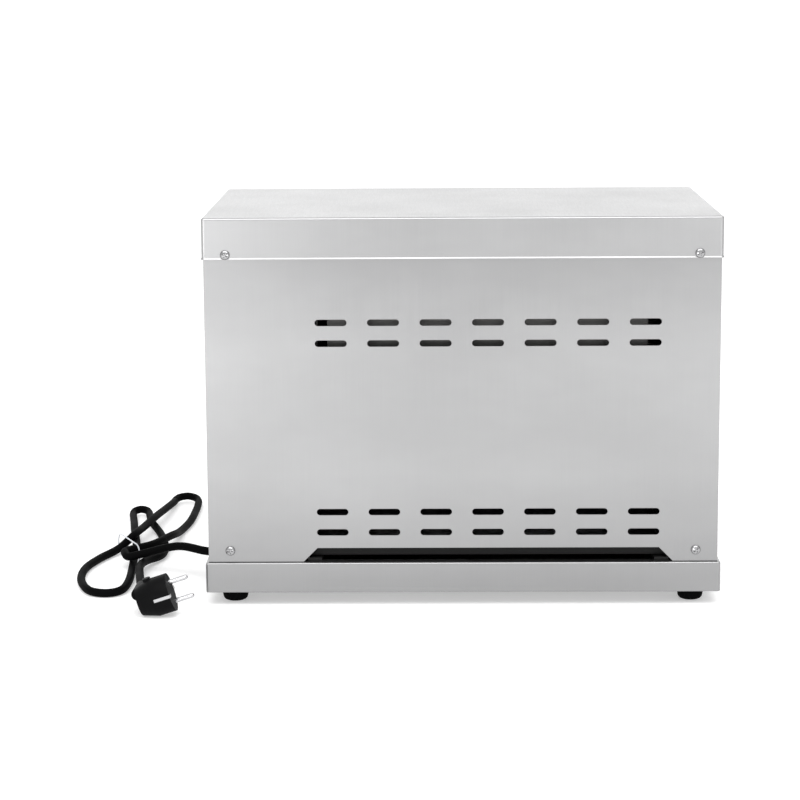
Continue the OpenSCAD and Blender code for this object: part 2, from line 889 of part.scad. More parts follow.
// Smooth curve through the route between points i and i + 1, at t from 0 to 1
function on_route(i, t) =
    let (a = route_point(i - 1), b = route_point(i), c = route_point(i + 1), d = route_point(i + 2))
    0.5 * (2 * b + (c - a) * t + (2 * a - 5 * b + 4 * c - d) * t ^ 2 + (3 * b - a - 3 * c + d) * t ^ 3);

// Direction of the curve at the same place
function along_route(i, t) =
    let (a = route_point(i - 1), b = route_point(i), c = route_point(i + 1), d = route_point(i + 2))
    let (v = (c - a) + 2 * (2 * a - 5 * b + 4 * c - d) * t + 3 * (3 * b - a - 3 * c + d) * t ^ 2)
    v / norm(v);

// Ring of points round the lead at one place on the route
function ring(i, t) =
    let (at = on_route(i, t), way = along_route(i, t), level = cross(way, [0, 0, 1]))
    let (side = level / norm(level), up = cross(side, way))
    [for (k = [0 : cord_sides - 1])
        let (angle = 360 * k / cord_sides)
        at + cord_d / 2 * (cos(angle) * side + sin(angle) * up)];

// Free mains lead: one tube swept along the route
module power_cord() color("black") {
    last = len(ROUTE) - 1;
    places = [
        for (i = [0 : last - 1])
            let (steps = ceil(norm(ROUTE[i + 1] - ROUTE[i]) / ring_step))
            for (k = [0 : steps - 1])
                [i, k / steps],
        [last - 1, 1]
    ];
    count = len(places);
    points = [for (place = places) each ring(place[0], place[1])];
    walls = [
        for (r = [0 : count - 2], k = [0 : cord_sides - 1])
            let (next = (k + 1) % cord_sides, low = r * cord_sides, high = low + cord_sides)
            [low + k, high + k, high + next, low + next]
    ];
    first_cap = [for (k = [0 : cord_sides - 1]) k];
    last_cap = [for (k = [cord_sides - 1 : -1 : 0]) (count - 1) * cord_sides + k];
    polyhedron(points, concat([first_cap], walls, [last_cap]));
}

// Twist tie: a flat ring of wire, standing on edge round the strands of the hank
tie_at = [353.4, -23.8, 10.5];
tie_turn = 115;
tie_reach = [-14, 38];
tie_r = 9.7;
tie_d = 1.4;
module cord_tie() color("white")
    translate(tie_at)
        rotate([0, 0, tie_turn])
            for (s = [-1, 1]) {
                rod_x([tie_reach[0], 0, s * tie_r], tie_d, tie_reach[1] - tie_reach[0]);
                translate([s < 0 ? tie_reach[0] : tie_reach[1], 0, 0])
                    rotate([90, 90 * s, 0])
                        rotate_extrude(angle = 180)
                            translate([tie_r, 0])
                                circle(d = tie_d, $fn = 24);
            }

// Plug placed with its pins along the tilted local -X direction
module at_plug()
    translate(plug_at)
        rotate([0, plug_tilt, 0])
            children();

// Moulded plug: round grip, short neck for the lead, pin holes and two grooves for the earth clips
module plug_body() color("black")
    intersection() {
        at_plug()
            difference() {
                union() {
                    rod_x([0, 0, 0], plug_d, grip_l);
                    translate([grip_l, 0, 0])
                        rotate([0, 90, 0])
                            cylinder(d1 = plug_d, d2 = 27, h = plug_l - grip_l);
                    translate(neck_at)
                        rotate([90, 0, 0])
                            cylinder(d1 = 12, d2 = 10.4, h = neck_l);
                    translate(bump_at)
                        cylinder(d = bump_d, h = bump_h);
                }
                for (z = [-pin_z, pin_z])
                    rod_x([-cut, 0, z], pin_d + 2 * fit_gap, 7);
                for (y = [-1, 1])
                    translate([clip_l / 2, y * plug_d / 2, 0])
                        cube([clip_l + 2 * cut, 2 * clip_t, clip_w + 1], center = true);
            }
        span([0, 0, 0.2], [far, far, far]);
    }

// Two round pins with rounded tips, and two earth clips hooked over the plug's face
module plug_pins() color("gainsboro")
    at_plug() {
        for (z = [-pin_z, pin_z]) {
            rod_x([-pin_l, 0, z], pin_d, pin_l + 5.5);
            translate([-pin_l, 0, z])
                sphere(d = pin_d);
        }
        for (y = [-1, 1]) {
            edge = y * plug_d / 2;
            hook = edge - y * clip_hook;
            outer = edge + y * 0.3;
            inner = outer - y * clip_t;
            tip = -clip_t - fit_gap;
            span([tip, min(outer, inner), -clip_w / 2], [clip_l, max(outer, inner), clip_w / 2]);
            span([tip, min(outer, hook), -clip_w / 2], [-fit_gap, max(outer, hook), clip_w / 2]);
        }
    }

base_pan();
foot_front_left();
foot_front_right();
foot_rear_left();
foot_rear_right();
foot_screws();
side_panel_left();
side_panel_right();
back_panel();
top_cover();
front_frame();
control_plate();
liner_left();
liner_right();
liner_top();
liner_back();
drain_plate();
heat_shield();
heater_upper_front();
heater_upper_rear();
heater_lower_front();
heater_lower_rear();
heater_insulators();
gear_motor();
motor_bracket();
drive_coupler();
spit_support();
spit_rod();
fork_left();
fork_right();
thumbscrew_left();
thumbscrew_right();
door_frame();
door_glass();
door_handle();
handle_posts();
hinge_left();
hinge_right();
thermostat();
thermostat_bulb();
timer();
mode_switch();
thermostat_knob();
timer_knob();
mode_knob();
pilot_lamps();
terminal_block();
wiring_harness();
cover_screws();
back_screws();
drip_tray();
tray_handle();
tray_rails();
wire_rack();
rack_supports();
cord_gland();
power_cord();
cord_tie();
plug_body();
plug_pins();
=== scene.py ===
"""Rotisserie oven seen from behind: studio camera and light, finished materials and detail pieces.

Lengths are in millimetres in the tables and turned into metres by mm(). Blender's axes are the frame's.
"""
import json
import math

import bmesh
import bpy
from mathutils import Matrix, Vector


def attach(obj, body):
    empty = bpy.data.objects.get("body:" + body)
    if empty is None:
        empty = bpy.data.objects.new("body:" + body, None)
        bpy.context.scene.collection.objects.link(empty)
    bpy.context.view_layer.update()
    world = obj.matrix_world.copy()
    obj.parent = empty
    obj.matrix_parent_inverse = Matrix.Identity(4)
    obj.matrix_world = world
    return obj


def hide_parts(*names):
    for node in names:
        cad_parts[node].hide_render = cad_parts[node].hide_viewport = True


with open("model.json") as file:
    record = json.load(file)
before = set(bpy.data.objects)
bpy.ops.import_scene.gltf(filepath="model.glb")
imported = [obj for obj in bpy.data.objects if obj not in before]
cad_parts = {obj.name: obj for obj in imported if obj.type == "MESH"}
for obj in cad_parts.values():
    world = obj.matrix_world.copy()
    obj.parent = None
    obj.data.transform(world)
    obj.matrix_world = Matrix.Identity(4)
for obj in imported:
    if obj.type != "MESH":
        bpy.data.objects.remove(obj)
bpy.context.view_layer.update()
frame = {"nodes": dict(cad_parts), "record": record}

NODES = frame["nodes"]
scene = bpy.context.scene


def mm(*values):
    """Millimetres as a vector in metres, or as one number."""
    if len(values) == 1:
        return values[0] * 0.001
    return Vector(values) * 0.001


# ---------------------------------------------------------------- camera

CAMERA_AT = mm(24.9, 2490.1, 608.2)
CAMERA_YAW = 0.865
CAMERA_PITCH = 9.984
CAMERA_ROLL = -0.358
LENS = 110.2
SENSOR_W = 36
VIEW_END = 200


def make_camera():
    """Camera behind the oven, a little above it, looking down by CAMERA_PITCH degrees."""
    yaw, pitch, roll = (math.radians(a) for a in (CAMERA_YAW, CAMERA_PITCH, CAMERA_ROLL))
    flat = math.cos(pitch)
    forward = Vector((math.sin(yaw) * flat, -math.cos(yaw) * flat, -math.sin(pitch)))
    level = forward.cross(Vector((0, 0, 1))).normalized()
    upright = level.cross(forward)
    right = level * math.cos(roll) + upright * math.sin(roll)
    up = upright * math.cos(roll) - level * math.sin(roll)
    data = bpy.data.cameras.new("camera")
    data.lens = LENS
    data.sensor_width = SENSOR_W
    data.clip_end = VIEW_END
    camera = bpy.data.objects.new("camera", data)
    turn = Matrix((right, up, -forward)).transposed().to_4x4()
    camera.matrix_world = Matrix.Translation(CAMERA_AT) @ turn
    scene.collection.objects.link(camera)
    scene.camera = camera


make_camera()

# ---------------------------------------------------------------- mains lead

CORD_D = 8.4
CORD_STEPS = 8
ROUTE = [
    (226, 83, 30), (256, 83, 30), (289, 58.5, 29.5), (327.5, 41.5, 17.5), (341.5, 39.5, 14),
    (346.5, 30.5, 14.5), (346.5, 16.5, 15), (324.5, -14, 14), (309.5, -60.5, 12.5),
    (305, -114.5, 5), (299, -166.5, 4.5), (298, -224.5, 4.5), (298.8, -258, 4.6), (300, -270, 5),
    (303.8, -279.2, 6.4), (313, -283, 7.8), (322.2, -279.2, 7.2), (326, -270.5, 6.2),
    (327.3, -259, 5.8), (329.5, -209, 10.5), (335.5, -152, 13.5), (342, -99.5, 14),
    (348, -59, 14.5), (361.5, -30, 6), (377, 9.5, 4.5), (385.5, 52.5, 4.5), (383, 99, 4.5),
    (369.5, 140.5, 4.5), (351.5, 152, 4.5), (337.5, 140, 4.5), (334.5, 103, 4.5), (337.5, 48.5, 5),
    (341.5, -6.5, 6.5), (346, -58.5, 6), (354.5, -113, 5), (362, -168, 4.5), (366.2, -195.5, 4.5),
    (367.1, -205.5, 5), (365.7, -211.9, 6.2), (360.2, -215.4, 7.2), (353.9, -214.2, 6.6),
    (350.2, -208.8, 5.4), (348, -199, 4.6), (341.5, -163, 4.5), (325.5, -106, 4.5), (315, -53, 4.5),
    (313, -6, 5), (325.5, 34.5, 8), (326, 79, 13), (320, 130, 17.5), (311.5, 189, 20.2),
]


def smooth_route(points, steps):
    """Points on one smooth curve through the given ones, in metres."""
    row = [mm(*p) for p in points]
    row = [2 * row[0] - row[1]] + row + [2 * row[-1] - row[-2]]
    out = []
    for a, b, c, d in zip(row, row[1:], row[2:], row[3:]):
        for k in range(steps):
            t = k / steps
            square = (2 * a - 5 * b + 4 * c - d) * t**2
            cube = (3 * b - a - 3 * c + d) * t**3
            out.append(0.5 * (2 * b + (c - a) * t + square + cube))
    out.append(row[-2])
    return out


def curve_tube(name, points, diameter, sides=6):
    """Tube along points in metres, as a curve of one open spline."""
    data = bpy.data.curves.new(name, "CURVE")
    data.dimensions = "3D"
    data.bevel_depth = 1.0
    data.bevel_resolution = sides
    data.use_fill_caps = True
    spline = data.splines.new("POLY")
    spline.points.add(len(points) - 1)
    for point, at in zip(spline.points, points):
        point.co = (*at, 1)
        point.radius = diameter / 2
    spline.use_smooth = True
    tube = bpy.data.objects.new(name, data)
    scene.collection.objects.link(tube)
    return tube


cord_points = smooth_route(ROUTE, CORD_STEPS)
cord = curve_tube("mains_lead", cord_points, mm(CORD_D))
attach(cord, "cabinet")
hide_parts("power_cord")

# ---------------------------------------------------------------- materials


class Look:
    """A node material under construction: Principled shader plus small helpers for its textures."""

    def __init__(self, name, colour, metallic=0.0, roughness=0.5, **sockets):
        self.material = bpy.data.materials.new(name)
        self.material.use_nodes = True
        self.tree = self.material.node_tree
        self.shader = self.tree.nodes["Principled BSDF"]
        self.colour = colour
        self.set(Metallic=metallic, Roughness=roughness, **sockets)
        self.shader.inputs["Base Color"].default_value = (*colour, 1)
        self.coords = self.tree.nodes.new("ShaderNodeTexCoord").outputs["Object"]

    def set(self, **sockets):
        """Fixed values of the shader's sockets."""
        for name, value in sockets.items():
            self.shader.inputs[name.replace("_", " ")].default_value = value

    def noise(self, scale, detail=3.0, stretch=(1, 1, 1), roughness=0.5):
        """Noise value over object space, stretched along the axes."""
        mapping = self.tree.nodes.new("ShaderNodeMapping")
        mapping.inputs["Scale"].default_value = stretch
        self.tree.links.new(self.coords, mapping.inputs["Vector"])
        texture = self.tree.nodes.new("ShaderNodeTexNoise")
        texture.inputs["Scale"].default_value = scale
        texture.inputs["Detail"].default_value = detail
        texture.inputs["Roughness"].default_value = roughness
        self.tree.links.new(mapping.outputs["Vector"], texture.inputs["Vector"])
        return texture.outputs["Fac"]

    def remap(self, value, low, high, to_low, to_high):
        """Value taken from one range to another, held at its ends."""
        node = self.tree.nodes.new("ShaderNodeMapRange")
        ends = {"From Min": low, "From Max": high, "To Min": to_low, "To Max": to_high}
        for name, number in ends.items():
            node.inputs[name].default_value = number
        self.tree.links.new(value, node.inputs["Value"])
        return node.outputs["Result"]

    def height(self):
        """Height above the part's own origin."""
        node = self.tree.nodes.new("ShaderNodeSeparateXYZ")
        self.tree.links.new(self.coords, node.inputs["Vector"])
        return node.outputs["Z"]

    def add(self, a, b, operation="ADD"):
        """Sum of two values, or another operation on them."""
        node = self.tree.nodes.new("ShaderNodeMath")
        node.operation = operation
        self.tree.links.new(a, node.inputs[0])
        self.tree.links.new(b, node.inputs[1])
        return node.outputs["Value"]

    def mix(self, value, low, high):
        """Colour between low and high, each a fixed colour or an output, by value from 0 to 1."""
        node = self.tree.nodes.new("ShaderNodeMix")
        node.data_type = "RGBA"
        for name, colour in (("A", low), ("B", high)):
            if isinstance(colour, tuple):
                node.inputs[name].default_value = (*colour, 1)
            else:
                self.tree.links.new(colour, node.inputs[name])
        self.tree.links.new(value, node.inputs["Factor"])
        return node.outputs["Result"]

    def feed(self, socket, output):
        """Connects an output to one of the shader's sockets."""
        self.tree.links.new(output, self.shader.inputs[socket])

    def bump(self, height, strength, distance):
        """Fine relief of the surface, distance in metres."""
        node = self.tree.nodes.new("ShaderNodeBump")
        node.inputs["Strength"].default_value = strength
        node.inputs["Distance"].default_value = distance
        self.tree.links.new(height, node.inputs["Height"])
        self.tree.links.new(node.outputs["Normal"], self.shader.inputs["Normal"])


def shade(colour, factor):
    """A colour made lighter or darker."""
    return tuple(min(1.0, c * factor) for c in colour)


# Values that a noise texture mostly stays between
NOISE_SPAN = (0.3, 0.7)
# Brushed lines: their share in the tone, and their depth as a share of the given one
LINE_SHARE = 0.25
LINE_DEPTH = 0.1
# Heights between which painted shade darkens the sheet: near the floor, and under the cover
PAINTED_SHADE_LOW = (mm(25), mm(130))
PAINTED_SHADE_LOW_SHARE = 0.8
PAINTED_SHADE_HIGH = (mm(255), mm(335))
PAINTED_SHADE_HIGH_SHARE = 0.45
COVER_EDGE = (mm(336.8), mm(337.3))


def brushed(name, colour, roughness, grain, smudge=0.05, lines=0.03, painted_shade_keep=1.0):
    """Brushed sheet metal: fine lines along one axis, faint smudges and cloudy gloss.

    Its last argument sets a painted shade: the share of its brightness that the sheet keeps near the
    body's lower and upper edges, so that it is darker towards the floor and under the cover.
    """
    look = Look(name, colour, metallic=1.0)
    line = look.noise(1.0, 2.0, grain)
    cloud = look.noise(9.0, 3.0)
    smear = look.noise(3.5, 4.0, (1.0, 1.0, 2.2), 0.6)
    tone = look.add(look.remap(line, *NOISE_SPAN, 0.0, LINE_SHARE),
                    look.remap(smear, 0.35, 0.65, 0.0, 1.0 - LINE_SHARE))
    finish = look.mix(tone, shade(colour, 1 - smudge), shade(colour, 1 + smudge))
    # Painted shade: a darker copy of the finish, mixed in near the floor and under the cover
    if painted_shade_keep < 1:
        painted_shade_colour = shade(colour, painted_shade_keep)
        height = look.height()
        low = look.remap(height, *PAINTED_SHADE_LOW, PAINTED_SHADE_LOW_SHARE, 0.0)
        high = look.remap(height, *PAINTED_SHADE_HIGH, 0.0, PAINTED_SHADE_HIGH_SHARE)
        below_cover = look.remap(height, *COVER_EDGE, 1.0, 0.0)
        painted_shade_mask = look.add(low, look.add(high, below_cover, "MULTIPLY"))
        painted_shade_finish = look.mix(tone, shade(painted_shade_colour, 1 - smudge), shade(painted_shade_colour, 1 + smudge))
        finish = look.mix(painted_shade_mask, finish, painted_shade_finish)
    look.feed("Base Color", finish)
    rough = look.add(look.remap(line, *NOISE_SPAN, roughness - 0.04, roughness + 0.04),
                     look.remap(cloud, 0.4, 0.7, 0.0, 0.06))
    look.feed("Roughness", rough)
    look.bump(line, 1.0, mm(lines) * LINE_DEPTH)
    return look.material


def plated(name, colour, roughness):
    """Bright or turned metal with small scratches and a slightly uneven shine."""
    look = Look(name, colour, metallic=1.0)
    haze = look.noise(60.0, 3.0)
    spots = look.noise(900.0, 2.0)
    look.feed("Base Color", look.mix(haze, shade(colour, 0.93), shade(colour, 1.05)))
    look.feed("Roughness", look.remap(haze, *NOISE_SPAN, roughness * 0.8, roughness * 1.3))
    look.bump(spots, 0.25, mm(0.02))
    return look.material


def moulded(name, colour, roughness, grain=1400.0, depth=0.03, shine=0.22):
    """Moulded plastic, rubber or ceramic: fine pitted skin and slow changes of shine."""
    look = Look(name, colour, Specular_IOR_Level=shine)
    skin = look.noise(grain, 2.0)
    wear = look.noise(35.0, 4.0)
    look.feed("Base Color", look.mix(wear, shade(colour, 0.8), shade(colour, 1.3)))
    look.feed("Roughness", look.remap(wear, *NOISE_SPAN, roughness - 0.06, roughness + 0.08))
    look.bump(skin, 0.6, mm(depth))
    return look.material


def enamel(name, colour, roughness):
    """Glossy coloured skin with orange peel, as on a lamp's lens."""
    look = Look(name, colour, Coat_Weight=0.6, Coat_Roughness=0.08)
    peel = look.noise(260.0, 2.0)
    dust = look.noise(40.0, 4.0)
    look.feed("Base Color", look.mix(dust, shade(colour, 0.85), shade(colour, 1.4)))
    look.feed("Roughness", look.remap(dust, *NOISE_SPAN, roughness, roughness + 0.12))
    look.bump(peel, 0.3, mm(0.05))
    return look.material


def glazed(name, tint):
    """Clear tempered glass with faint streaks."""
    look = Look(name, tint, roughness=0.03, IOR=1.5, Transmission_Weight=1.0)
    streak = look.noise(6.0, 3.0, (1, 1, 4))
    look.feed("Roughness", look.remap(streak, 0.4, 0.8, 0.02, 0.07))
    look.feed("Base Color", look.mix(streak, shade(tint, 0.97), tint))
    return look.material


# Stretch of the brushed lines: along X, and upright
ALONG_X = (12, 1500, 1500)
UPRIGHT = (1500, 60, 12)
STEEL = (0.372, 0.372, 0.375)

LOOKS = {
    # The stainless sheet gets painted shade near the floor and under the cover
    "stainless": brushed("brushed stainless", STEEL, 0.33, UPRIGHT, smudge=0.06, lines=0.02, painted_shade_keep=0.70),
    "door_metal": brushed("door metal", (0.43, 0.43, 0.427), 0.28, ALONG_X),
    "liner_steel": brushed("liner steel", (0.25, 0.247, 0.243), 0.42, ALONG_X, smudge=0.12),
    "rubber": moulded("black rubber", (0.003, 0.003, 0.0032), 0.55, shine=0.012),
    "chrome": plated("bright plating", (0.50, 0.50, 0.51), 0.14),
    "screw_steel": plated("zinc plated steel", (0.36, 0.36, 0.365), 0.16),
    "heater_sheath": moulded("oxidised heater sheath", (0.06, 0.052, 0.047), 0.5, 600.0, 0.05),
    "ceramic": moulded("unglazed ceramic", (0.74, 0.71, 0.64), 0.6, 900.0, 0.04),
    "zinc_yellow": plated("yellow passivated zinc", (0.62, 0.50, 0.27), 0.32),
    "machined_steel": plated("turned steel", (0.50, 0.50, 0.51), 0.25),
    "glass": glazed("door glass", (0.90, 0.96, 0.94)),
    "black_plastic": moulded("black plastic", (0.005, 0.005, 0.0053), 0.4, shine=0.025),
    "control_grey": moulded("control plate paint", (0.03, 0.03, 0.032), 0.45, 2200.0, 0.02),
    "control_metal": plated("control housings", (0.60, 0.60, 0.58), 0.35),
    "lamp_red": enamel("lamp lens", (0.65, 0.05, 0.02), 0.15),
    "wire_red": moulded("wire sleeve", (0.35, 0.03, 0.025), 0.5),
    "black_enamel": moulded("black enamel", (0.010, 0.010, 0.010), 0.4, 260.0, 0.03, 0.12),
    "tie_white": moulded("tie sleeve", (0.55, 0.57, 0.60), 0.3),
}

SLOT_OF = {row["node"]: row["material_slot"] for row in frame["record"]["subparts"]}


def dress(obj, slot):
    """Gives an object the one finished material of a slot."""
    obj.data.materials.clear()
    obj.data.materials.append(LOOKS[slot])


WELD_REACH = 0.01


def soften(obj, width, segments=2, angle=35):
    """Rounds an object's sharp edges by a small bevel, without touching its own mesh."""
    weld = obj.modifiers.new("weld", "WELD")
    weld.merge_threshold = mm(WELD_REACH)
    bevel = obj.modifiers.new("edge", "BEVEL")
    bevel.width = mm(width)
    bevel.segments = segments
    bevel.limit_method = "ANGLE"
    bevel.angle_limit = math.radians(angle)
    bevel.harden_normals = True


# Width of the rounded edges of CAD parts
EDGE = {
    "door_frame": 1.2,
    "control_plate": 0.3,
    "plug_body": 0.9,
    "thermostat_knob": 0.8,
    "timer_knob": 0.8,
    "mode_knob": 0.8,
    "drip_tray": 0.4,
}

for name, node in NODES.items():
    dress(node, SLOT_OF[name])
    if name in EDGE:
        soften(node, EDGE[name])
dress(cord, "rubber")

# ---------------------------------------------------------------- mesh helpers


def outward(mesh):
    """Turns all faces of a mesh outward."""
    tidy = bmesh.new()
    tidy.from_mesh(mesh)
    bmesh.ops.recalc_face_normals(tidy, faces=tidy.faces)
    tidy.to_mesh(mesh)
    tidy.free()


def piece(name, vertices, faces, body, slot, stands_for=(), smooth=True):
    """One mesh piece from points in millimetres, riding on a body and dressed in a slot's finish."""
    mesh = bpy.data.meshes.new(name)
    mesh.from_pydata([mm(*v) for v in vertices], [], faces)
    outward(mesh)
    if smooth:
        mesh.shade_smooth()
    obj = bpy.data.objects.new(name, mesh)
    scene.collection.objects.link(obj)
    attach(obj, body)
    dress(obj, slot)
    if stands_for:
        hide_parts(*stands_for)
    return obj


def even_normals(obj):
    """Lets the large faces set the shading, so that they look flat beside small rounded ones."""
    weights = obj.modifiers.new("weights", "WEIGHTED_NORMAL")
    weights.weight = 80
    weights.keep_sharp = True


def loft(rings, cap_first=True, cap_last=True):
    """Vertices and faces of a skin over rings of equally many points."""
    count = len(rings[0])
    vertices = [v for ring in rings for v in ring]
    faces = []
    for r in range(len(rings) - 1):
        low = r * count
        for k in range(count):
            nxt = (k + 1) % count
            faces.append((low + k, low + nxt, low + count + nxt, low + count + k))
    if cap_first:
        faces.append(tuple(range(count)))
    if cap_last:
        faces.append(tuple(range(len(vertices) - count, len(vertices))))
    return vertices, faces


CORNER_STEPS = 6
SHARPEST = 0.3


def rounded_ring(half_x, half_y, radius, z, centre_y):
    """Ring of points round a rectangle with round corners, level at height z."""
    points = []
    for quarter, (sx, sy) in enumerate(((1, 1), (-1, 1), (-1, -1), (1, -1))):
        for k in range(CORNER_STEPS + 1):
            angle = math.radians(90 * quarter + 90 * k / CORNER_STEPS)
            points.append((sx * (half_x - radius) + radius * math.cos(angle),
                           centre_y + sy * (half_y - radius) + radius * math.sin(angle), z))
    return points


def folded_pan(name, half_x, half_y, corner, centre_y, profile, slot, node):
    """Folded sheet pan from a profile of (offset from the nominal outline, height)."""
    rings = []
    for d, z in profile:
        radius = max(corner + d, SHARPEST)
        rings.append(rounded_ring(half_x + d, half_y + d, radius, z, centre_y))
    obj = piece(name, *loft(rings), "cabinet", slot, (node,))
    even_normals(obj)
    return obj


def arc(centre_d, centre_z, radius, start, end, steps=5):
    """Points (offset, height) on an arc between two angles in degrees."""
    angles = [math.radians(start + (end - start) * k / steps) for k in range(steps + 1)]
    return [(centre_d + radius * math.cos(a), centre_z + radius * math.sin(a)) for a in angles]


def lathe(profile, at, axis, sides=40):
    """Vertices and faces of a turned shape: profile of (radius, distance along the axis)."""
    axis = Vector(axis)
    side = axis.orthogonal().normalized()
    up = axis.cross(side)
    rings = []
    for radius, reach in profile:
        ring = []
        for k in range(sides):
            angle = 2 * math.pi * k / sides
            spoke = side * math.cos(angle) + up * math.sin(angle)
            ring.append(Vector(at) + axis * reach + spoke * radius)
        rings.append(ring)
    return loft(rings)


# ---------------------------------------------------------------- cover, base and feet

BASE_Z = 13.0
BODY_Z = 42.5
SKIRT_Z = 337.5
TOP_Z = 377.0
MIDDLE_Y = 25.0
SHEET = 1.2
# Half length, half depth and corner radius of each folded pan
COVER = (247.5, 157.5, 3.0)
BASE = (249, 159.5, 2.5)
BODY = (246.2, 156.4, 0.6)
# How far the cover's hem stands proud, the bend of its top edge, the bends and inner rim of the base
HEM = 0.9
COVER_BEND = 2.2
BASE_BEND = 2.0
BASE_FOLD = 1.0
BASE_RIM = 14
cover_profile = [
    (-SHEET, TOP_Z - SHEET), (-SHEET, SKIRT_Z + 0.3), (-0.8, SKIRT_Z), (HEM - 0.1, SKIRT_Z),
    (HEM, SKIRT_Z + 0.1), (HEM, SKIRT_Z + 0.4), (0.15, SKIRT_Z + 1.5), (0, SKIRT_Z + 1.9),
] + arc(-COVER_BEND, TOP_Z - COVER_BEND, COVER_BEND, 0, 90)
folded_pan("cover_skin", *COVER, MIDDLE_Y, cover_profile, "stainless", "top_cover")

base_profile = [
    (-SHEET, BASE_Z + SHEET), (-SHEET, BODY_Z - SHEET),
    (-BASE_RIM, BODY_Z - SHEET), (-BASE_RIM, BODY_Z),
]
base_profile += arc(-BASE_BEND, BODY_Z - BASE_BEND, BASE_BEND, 90, 0)
base_profile += arc(-BASE_FOLD, BASE_Z + BASE_FOLD, BASE_FOLD, 0, -90, 3)
folded_pan("base_skin", *BASE, MIDDLE_Y, base_profile, "stainless", "base_pan")

FOOT_X = 222.5
FOOT_FRONT_Y = -107
FOOT_REAR_Y = 157
FOOT_PROFILE = [
    (0.5, 0.6), (6.5, 0.6), (6.8, 0), (8.6, 0.1), (10.4, 0.9),
    (11.6, 2.3), (12.2, 4.2), (12.5, 7), (12.5, 13),
]
FEET = {
    "foot_front_left": (-FOOT_X, FOOT_FRONT_Y, 0),
    "foot_front_right": (FOOT_X, FOOT_FRONT_Y, 0),
    "foot_rear_left": (-FOOT_X, FOOT_REAR_Y, 0),
    "foot_rear_right": (FOOT_X, FOOT_REAR_Y, 0),
}
for name, place in FEET.items():
    piece(name + "_dome", *lathe(FOOT_PROFILE, place, (0, 0, 1)), "cabinet", "rubber", (name,))

# Painted shadow: a thin black strip standing for the shadow line between the body's sheets and the base
SHADOW_STRIP_H = 0.5
SHADOW_STRIP_DEPTH = 2
half_x, half_y, corner = BODY
shadow_strip_rings = []
for d, z in ((-SHADOW_STRIP_DEPTH, 0), (0, 0), (0, SHADOW_STRIP_H), (-SHADOW_STRIP_DEPTH, SHADOW_STRIP_H)):
    shadow_strip_rings.append(rounded_ring(half_x + d, half_y + d, corner + d, BODY_Z + z, MIDDLE_Y))
piece("body_shadow_strip", *loft(shadow_strip_rings, False, False), "cabinet", "black_enamel", smooth=False)

# ---------------------------------------------------------------- knob pointers and dials

PLATE_Y = -132.5
POINTER_Y = -154.1
CONTROL_X = 198
# Name, height and number of strokes of each dial
DIALS = (("thermostat", 282, 11), ("timer", 216, 13), ("mode", 150, 4))
DIAL_SWEEP = 270
DIAL_R = 21.2
END_STROKE = 4.2
STROKE = 2.8
STROKE_W = 0.8
STROKE_H = 0.12
POINTER_R = 10.2
POINTER_L = 11.0
POINTER_W = 1.3
POINTER_H = 0.7


def capsule(x, z, length, width, angle, steps=5):
    """Outline of a bar with round ends, in X and Z, pointing along an angle from upright, in degrees."""
    turn = math.radians(angle)
    along = Vector((math.sin(turn), math.cos(turn)))
    aside = Vector((math.cos(turn), -math.sin(turn)))
    points = []
    for end in (1, -1):
        for k in range(steps + 1):
            a = math.pi * k / steps
            reach = end * (length - width) / 2 + end * width / 2 * math.sin(a)
            points.append(Vector((x, z)) + along * reach + aside * end * width / 2 * math.cos(a))
    return points


def print_bars(name, bars, y, depth, body, slot):
    """Raised bars of one print or paint: each bar is (x, z, length, width, angle)."""
    vertices, faces = [], []
    for bar in bars:
        outline = capsule(*bar)
        rings = [[(p.x, y - d, p.y) for p in outline] for d in (0, depth)]
        more, walls = loft(rings)
        faces += [tuple(len(vertices) + k for k in wall) for wall in walls]
        vertices += more
    return piece(name, vertices, faces, body, slot, smooth=False)


for dial, z, marks in DIALS:
    bars = []
    for k in range(marks):
        angle = -DIAL_SWEEP / 2 + DIAL_SWEEP * k / (marks - 1)
        turn = math.radians(angle)
        length = END_STROKE if k in (0, marks - 1) else STROKE
        radius = DIAL_R + length / 2
        middle = (CONTROL_X + radius * math.sin(turn), z + radius * math.cos(turn))
        bars.append((*middle, length, STROKE_W, angle))
    print_bars(dial + "_scale", bars, PLATE_Y, STROKE_H, "cabinet", "tie_white")
    pointer = (CONTROL_X, z + POINTER_R, POINTER_L, POINTER_W, 0)
    print_bars(dial + "_pointer", [pointer], POINTER_Y, POINTER_H, dial + "_dial", "tie_white")

# ---------------------------------------------------------------- screws


HEAD_PROFILE = [
    (0.2, -1.0), (4.2, -1.0), (4.65, -0.2), (4.7, 0.5), (4.45, 1.2),
    (3.9, 1.9), (3.0, 2.5), (1.8, 2.9), (0.4, 3.0),
]
# Cross recess: half length and half width of an arm, and (depth, scale) at its floor and above the head
ARM_L = 2.9
ARM_W = 0.62
ARM_ENDS = ((1.1, 0.7), (4.0, 1.15))


